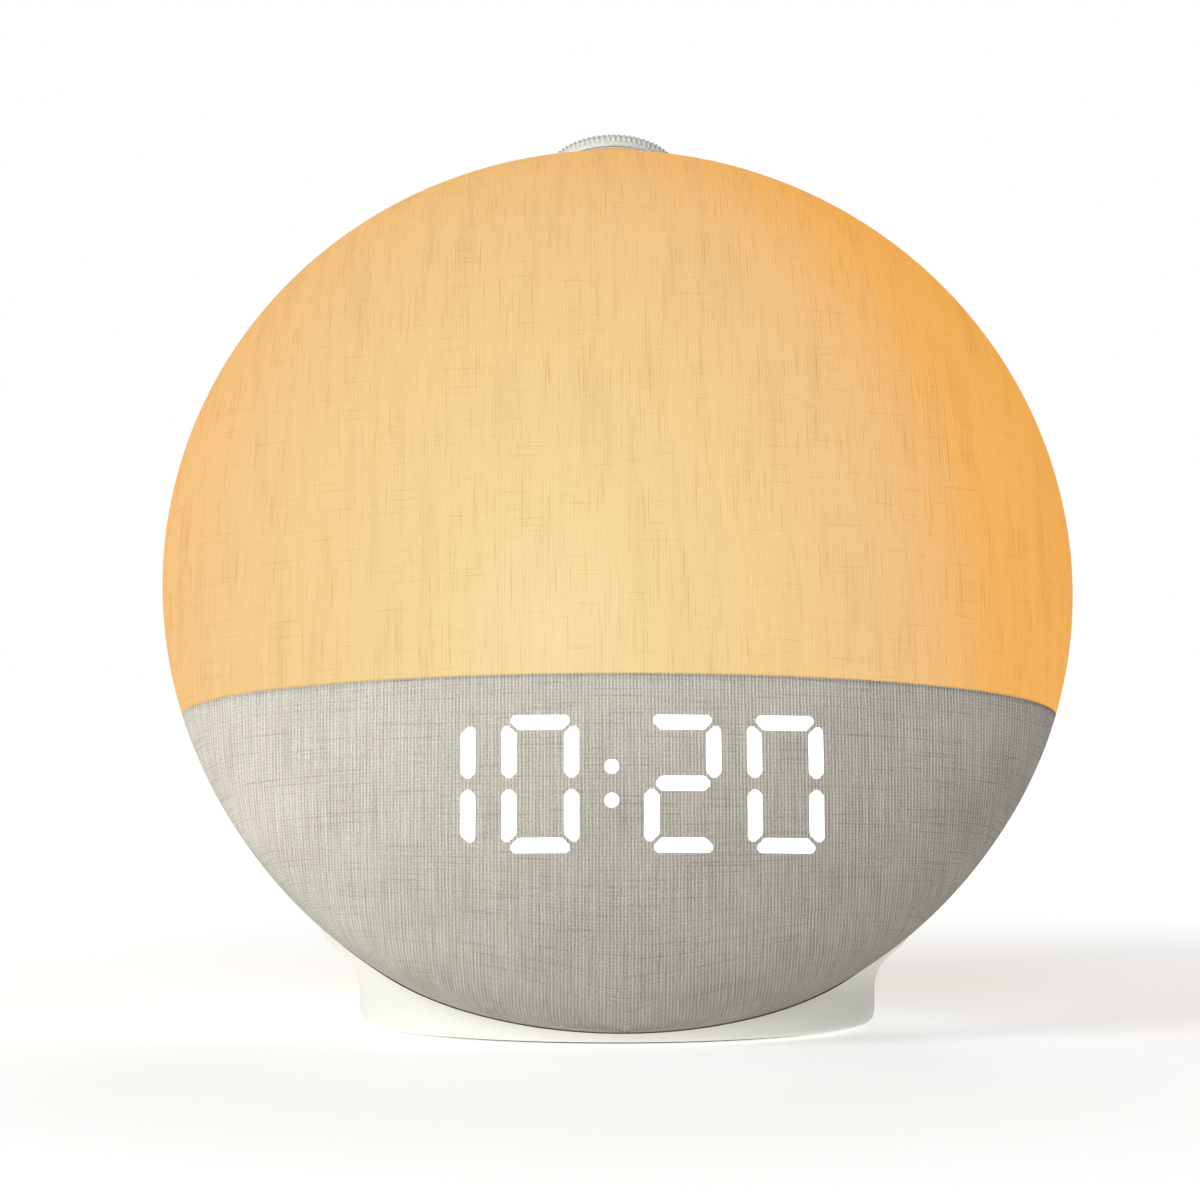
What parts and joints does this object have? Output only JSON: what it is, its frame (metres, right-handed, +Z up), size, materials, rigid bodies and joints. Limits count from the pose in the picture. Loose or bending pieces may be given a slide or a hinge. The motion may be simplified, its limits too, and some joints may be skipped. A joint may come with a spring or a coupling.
{
  "type": "sunrise alarm clock",
  "caption": "Round fabric-covered sunrise alarm clock: glowing upper cover, grey lower cover with a lit time display, oval white base, turning and pressing dial on top.",
  "frame": {"origin": "centre of the foot pad's underside", "axes": "+Z up, the display faces -Y, +X to the right seen from the front"},
  "size_m": [0.15, 0.1079, 0.1538],
  "materials": {
    "glow_fabric": "glowing woven",
    "grey_fabric": "woven",
    "frosted_plastic": "frosted",
    "white_plastic": "fine satin",
    "grey_plastic": "moulded",
    "black_plastic": "moulded",
    "reflector": "white film",
    "board": "solder mask",
    "light_chips": "encapsulated",
    "aluminium": "milled",
    "steel": "plated",
    "speaker_metal": "black",
    "cone_paper": "pressed",
    "copper": "wound",
    "rubber": "soft"
  },
  "bodies": {
    "clock_body": {"light_cover_fabric": "glow_fabric", "speaker_cover_fabric": "grey_fabric", "light_diffuser_dome": "frosted_plastic", "lit_segments": "frosted_plastic", "dark_segments": "frosted_plastic", "colon_dots": "frosted_plastic", "base_shell": "white_plastic", "dial_cup": "white_plastic", "lower_housing": "grey_plastic", "light_deck": "grey_plastic", "dial_post": "grey_plastic", "segment_mask": "black_plastic", "encoder_housing": "black_plastic", "alarm_switch_body": "black_plastic", "processor_chip": "black_plastic", "reflector_sheet": "reflector", "light_board": "board", "encoder_board": "board", "display_board": "board", "main_board": "board", "socket_board": "board", "warm_light_chips": "light_chips", "white_light_chips": "light_chips", "heat_spreader": "aluminium", "deck_screws": "steel", "main_board_screws": "steel", "speaker_screws": "steel", "base_screws": "steel", "socket_board_screws": "steel", "wireless_shield": "steel", "power_socket": "steel", "speaker_magnet": "steel", "speaker_frame": "speaker_metal", "foot_pad": "rubber", "speaker_gasket": "rubber"},
    "encoder_turn": {"encoder_rotor": "grey_plastic"},
    "dial": {"dial_cap": "white_plastic", "dial_shaft": "steel"},
    "alarm_switch_slide": {"alarm_slider": "grey_plastic"},
    "speaker_mover": {"speaker_cone": "cone_paper", "voice_coil": "copper", "cone_surround": "rubber"}
  },
  "joints": [
    {"name": "dial_turn", "type": "hinge", "parent": "clock_body", "child": "encoder_turn", "pos_m": [0, -0.0104, 0.076], "axis": [0, 0.4617, 0.887], "continuous": true},
    {"name": "dial_press", "type": "slide", "parent": "encoder_turn", "child": "dial", "axis": [0, -0.4617, -0.887], "range_m": [0, 0.0005], "stiffness_N_per_m": 3000, "springref_m": -0.0002},
    {"name": "alarm_slide", "type": "slide", "parent": "clock_body", "child": "alarm_switch_slide", "axis": [1, 0, 0], "range_m": [0, 0.003]},
    {"name": "cone_travel", "type": "slide", "parent": "clock_body", "child": "speaker_mover", "axis": [0, 0.3665, -0.9304], "range_m": [-0.001, 0.001], "stiffness_N_per_m": 1000}
  ]
}
